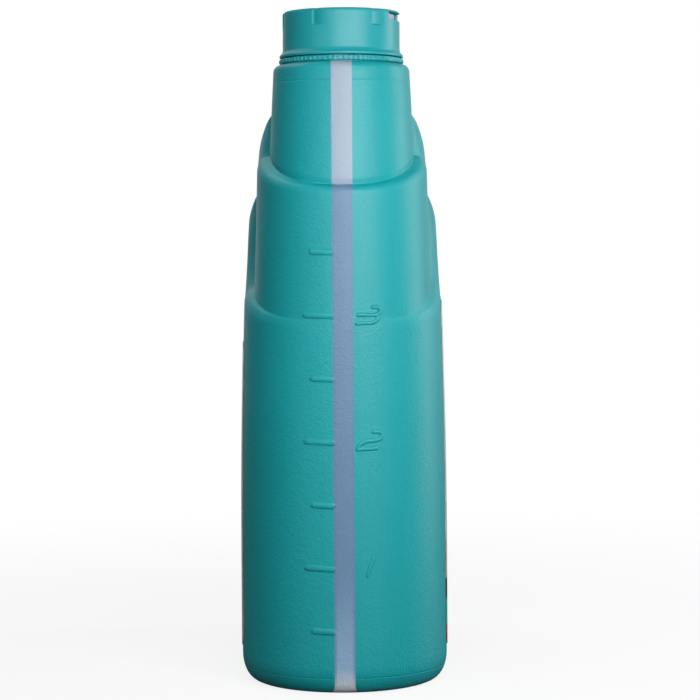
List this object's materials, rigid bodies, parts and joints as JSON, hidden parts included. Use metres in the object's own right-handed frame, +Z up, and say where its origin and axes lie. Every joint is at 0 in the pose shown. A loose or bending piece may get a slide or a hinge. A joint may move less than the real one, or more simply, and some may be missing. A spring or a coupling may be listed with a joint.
{
  "type": "oil jug",
  "caption": "Tall blow-moulded oil jug with stepped shoulders, a hollow back handle, a clear view stripe with level marks and a ribbed screw cap over a tamper band.",
  "frame": {"origin": "centre of the bounding box at the base", "axes": "+Z up; the stripe and the neck face -Y, the handle lies on +Y; X across the narrow width"},
  "size_m": [0.0962, 0.2144, 0.308],
  "materials": {
    "jug_body": "fine-grained blow-moulded polyethylene",
    "oil_fill": "clear amber liquid",
    "tamper_band": "ribbed moulded plastic",
    "cap": "smooth injection-moulded plastic",
    "seal_insert": "natural polyethylene",
    "label_left": "printed film",
    "label_right": "printed film"
  },
  "bodies": {
    "jug": {"jug_body": "jug_body", "oil_fill": "oil_fill", "tamper_band": "tamper_band", "label_left": "label_left", "label_right": "label_right"},
    "seal": {"seal_insert": "seal_insert"},
    "cap": {"cap": "cap"}
  },
  "joints": [
    {"name": "cap_lift", "type": "slide", "parent": "jug", "child": "seal", "axis": [0, 0, 1], "range_m": [0, 0.02]},
    {"name": "cap_turn", "type": "hinge", "parent": "seal", "child": "cap", "pos_m": [0, -0.069, 0.295], "axis": [0, 0, 1], "range_deg": [0, 720]}
  ],
  "couplings": [
    {"joint": "cap_turn", "follows": "cap_lift", "rad_per_m": 628.32}
  ]
}
